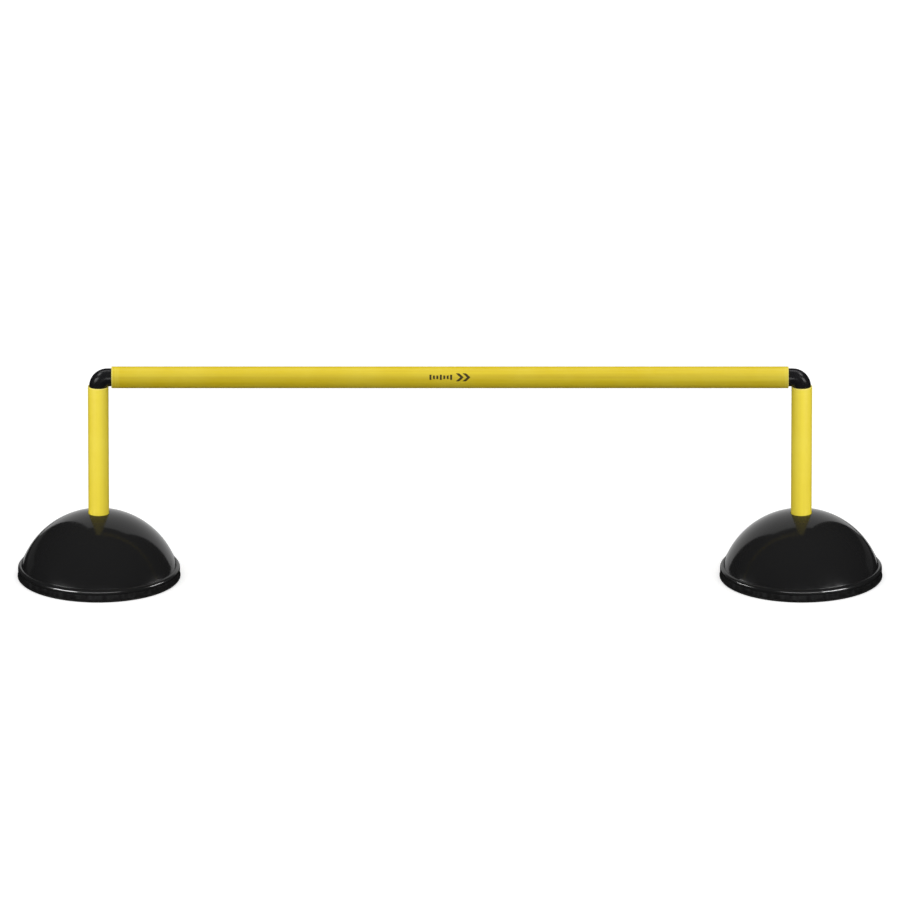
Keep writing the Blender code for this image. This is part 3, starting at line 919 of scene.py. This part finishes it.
def build_hurdle():
    """Every piece of the hurdle."""
    materials = {
        "bar": tube_plastic("bar_yellow", X_AXIS, -BAR_LENGTH / 2, BAR_LENGTH / 2),
        "post": tube_plastic("post_yellow", Z_AXIS, 0, POST_TOP - POST_FOOT, POST_SHEEN_SHARE),
        "elbow": elbow_plastic(), "dome": dome_plastic(), "cover": cover_plastic(),
        "rubber": grip_rubber(), "sleeve": sleeve_plastic(), "concrete": ballast_concrete(),
        "steel": screw_steel(), "ink": print_ink(),
    }
    meshes = {
        "elbow": elbow_mesh(), "post": tube_mesh("post", POST_RADIUS, POST_TOP - POST_FOOT),
        "dome_shell": shell_mesh(), "base_cover": cover_mesh(), "grip_ring": ring_mesh(),
        "socket_sleeve": sleeve_mesh(), "ballast": ballast_mesh(), "screw": screw_mesh(),
    }
    build_bar(materials)
    for side, sign in SIDES.items():
        build_side(side, sign, meshes, materials)


# ------------------------------------------------------------ stage, lights and camera

AMBIENT = 0.15                 # the world's light all round
KEY = 0.96                     # and what is added to it towards the key
KEY_TOWARDS = (0, -0.6, 0.8)
KEY_EDGE = (0.15, 0.65)        # cosines, between which the key light fades in

# A backdrop for the domes and a long strip over all other pieces: (place, target, size, radiance).
BACKDROP = ((0, 1.28, 1.3), (0, 0, 1.3), (1.9, 2.6), 0.85)
TOP_STRIP = ((0, 0.46, 1.36), (0, 0, BAR_Z), (2.6, 0.42), 1.2)
# A sheet of light on the floor behind each base, which only its dome mirrors.
SWEEP_INWARDS, SWEEP_BACK = 0.35, 0.69
SWEEP_SIZE, SWEEP = (1.0, 1.18), 0.8
# Upright lights round each base: (name, span in degrees from the front towards the outer side,
# heights, distance, radiance). The dome only mirrors its own ones; the post is also lit by its own.
DOME_STRIPS = (
    ("outer_glint", (28, 60), (0.0, 0.13), 0.62, 85.0),
    ("front_glint", (-27, 20), (0.0, 0.13), 0.62, 13.0),
    ("inner_glint", (-92, -70), (0.0, 0.07), 0.62, 45.0),
    ("outer_wing", (118, 157), (0.0, 0.3), 1.5, 0.085),
)
POST_STRIPS = (
    ("outer_light", (20, 68), (0.05, 0.45), 0.8, 2.9),
    ("inner_light", (-60, -30), (0.05, 0.40), 0.8, 1.6),
)
# Lights round each elbow: (name, place from it as outwards, back and up, size).
ELBOW_LIGHT = 2.6
ELBOW_LIGHTS = (
    ("elbow_high", (0.62, -0.03, 0.78), (0.35, 0.28)),
    ("elbow_outer", (0.80, -0.50, 0.34), (0.42, 0.34)),
    ("elbow_front", (-0.16, -0.98, 0.04), (0.36, 0.28)),
)

FLOOR_REACH = 60               # from its middle
FLOOR_WHITE = 0.85             # its colour to the camera
FLOOR_BOUNCE = 0.35            # and to every other ray
FLOOR_GLOW = 0.47              # which only the camera sees

CAMERA_DISTANCE = 30.0
CAMERA_ELEVATION = math.radians(18.6)
CAMERA_SENSOR = 36
CAMERA_LENS = 984
CAMERA_REACH = 100
AIM = Vector((0, 0, 0.1631))


def look_at(item, target):
    """Turn a light or camera so that its -Z axis points at the target."""
    item.rotation_euler = (Vector(target) - item.location).to_track_quat("-Z", "Y").to_euler()


def softbox(name, location, target, size, radiance, lit, diffuse=True):
    """A rectangular light for the listed pieces only; without diffuse, it is only mirrored."""
    data = bpy.data.lights.new(name, "AREA")
    data.shape = "RECTANGLE"
    data.size, data.size_y = size
    data.energy = radiance * math.pi * size[0] * size[1]
    made = bpy.data.objects.new(name, data)
    bpy.context.scene.collection.objects.link(made)
    made.location = location
    look_at(made, target)
    made.visible_camera = False
    made.visible_diffuse = diffuse
    group = bpy.data.collections.new(name)
    for item in lit:
        group.objects.link(item)
    made.light_linking.receiver_collection = group


def build_floor():
    """A plain pale studio floor, which the glossy pieces don't mirror."""
    bm = bmesh.new()
    bmesh.ops.create_grid(bm, x_segments=1, y_segments=1, size=FLOOR_REACH)
    mesh = bpy.data.meshes.new("studio_floor")
    bm.to_mesh(mesh)
    bm.free()
    floor = bpy.data.objects.new("studio_floor", mesh)
    bpy.context.scene.collection.objects.link(floor)
    mesh.materials.append(floor_material())
    floor.visible_glossy = False


def direction_share(nodes, links, source, towards, low, high):
    """0 to 1 as a direction turns towards another; low and high are cosines."""
    dot = nodes.new("ShaderNodeVectorMath")
    dot.operation = "DOT_PRODUCT"
    dot.inputs[1].default_value = Vector(towards).normalized()
    links.new(source, dot.inputs[0])
    share = nodes.new("ShaderNodeMapRange")
    share.interpolation_type = "SMOOTHSTEP"
    share.inputs["From Min"].default_value = low
    share.inputs["From Max"].default_value = high
    links.new(dot.outputs["Value"], share.inputs["Value"])
    return share.outputs["Result"]


def for_camera(nodes, links, value, other):
    """One value for what the camera sees directly and another for all other rays."""
    path = nodes.new("ShaderNodeLightPath")
    pick = nodes.new("ShaderNodeMix")
    links.new(path.outputs["Is Camera Ray"], pick.inputs["Factor"])
    for key, source in zip(MIX_NUMBERS, (other, value)):
        if isinstance(source, float):
            pick.inputs[key].default_value = source
        else:
            links.new(source, pick.inputs[key])
    return pick.outputs[MIX_NUMBER_RESULT]


def floor_material():
    """White to the camera; to the object it is a duller floor, which bounces less light up."""
    made = bpy.data.materials.new("studio_floor")
    made.use_nodes = True
    nodes, links = made.node_tree.nodes, made.node_tree.links
    nodes.remove(nodes["Principled BSDF"])
    diffuse = nodes.new("ShaderNodeBsdfDiffuse")
    links.new(for_camera(nodes, links, FLOOR_WHITE, FLOOR_BOUNCE), diffuse.inputs["Color"])
    glow = nodes.new("ShaderNodeEmission")
    links.new(for_camera(nodes, links, FLOOR_GLOW, 0.0), glow.inputs["Strength"])
    both = nodes.new("ShaderNodeAddShader")
    links.new(diffuse.outputs["BSDF"], both.inputs[0])
    links.new(glow.outputs["Emission"], both.inputs[1])
    links.new(both.outputs["Shader"], nodes["Material Output"].inputs["Surface"])
    return made


def build_world():
    """Soft light from above and in front, dim elsewhere; white to the camera, not mirrored."""
    world = bpy.data.worlds.new("studio")
    bpy.context.scene.world = world
    world.use_nodes = True
    world.cycles_visibility.glossy = False
    nodes, links = world.node_tree.nodes, world.node_tree.links
    place = nodes.new("ShaderNodeTexCoord").outputs["Generated"]
    key = direction_share(nodes, links, place, KEY_TOWARDS, *KEY_EDGE)
    level = nodes.new("ShaderNodeMapRange")
    level.inputs["To Min"].default_value = AMBIENT
    level.inputs["To Max"].default_value = AMBIENT + KEY
    links.new(key, level.inputs["Value"])
    background = nodes["Background"]
    background.inputs["Color"].default_value = (1, 1, 1, 1)
    links.new(for_camera(nodes, links, 1.0, level.outputs["Result"]), background.inputs["Strength"])


def strip_light(name, sign, span, heights, reach, radiance, lit, diffuse=True):
    """An upright light that faces one base, from a span of directions and of heights."""
    turn = math.radians(sum(span)) / 2
    width = 2 * reach * math.tan(math.radians(span[1] - span[0]) / 2)
    way = Vector((sign * math.sin(turn), -math.cos(turn), 0))
    centre = Vector((sign * POST_X, 0, sum(heights) / 2))
    size = (width, heights[1] - heights[0])
    softbox(name, centre + way * reach, centre, size, radiance, lit, diffuse)


def build_lights():
    """The softboxes: what the glossy pieces mirror, and the extra light on the posts."""
    pieces = bpy.data.objects
    domes = [pieces[f"{side}_dome_shell_fine"] for side in SIDES]
    apart = (*domes, pieces["studio_floor"])
    others = [item for item in pieces if item.type == "MESH" and item not in apart]
    softbox("backdrop", *BACKDROP, domes)
    softbox("top_strip", *TOP_STRIP, others)
    for side, sign in SIDES.items():
        dome, post, elbow = (
            [pieces[f"{side}_{kind}"]] for kind in ("dome_shell_fine", "post", "elbow_fine")
        )
        sweep = Vector((sign * (POST_X - SWEEP_INWARDS), SWEEP_BACK, 0))
        softbox(f"{side}_sweep", sweep, sweep + Vector((0, 0, 1)), SWEEP_SIZE, SWEEP, dome, False)
        for kind, *strip_sizes in DOME_STRIPS:
            strip_light(f"{side}_{kind}", sign, *strip_sizes, dome, False)
        for kind, *strip_sizes in POST_STRIPS:
            strip_light(f"{side}_{kind}", sign, *strip_sizes, post)
        corner = Vector((sign * POST_X, 0, BAR_Z))
        for kind, (outward, back, up), size in ELBOW_LIGHTS:
            place = corner + Vector((sign * outward, back, up))
            softbox(f"{side}_{kind}", place, corner, size, ELBOW_LIGHT, elbow)


def build_camera():
    """The product view: a long lens from the front, a little above."""
    data = bpy.data.cameras.new("camera")
    data.sensor_width = CAMERA_SENSOR
    data.lens = CAMERA_LENS
    data.clip_end = CAMERA_REACH
    camera = bpy.data.objects.new("camera", data)
    bpy.context.scene.collection.objects.link(camera)
    back = Vector((0, -math.cos(CAMERA_ELEVATION), math.sin(CAMERA_ELEVATION)))
    camera.location = AIM + back * CAMERA_DISTANCE
    look_at(camera, AIM)
    bpy.context.scene.camera = camera


bpy.context.scene.view_settings.view_transform = "Standard"
build_hurdle()
build_floor()
build_world()
build_lights()
build_camera()
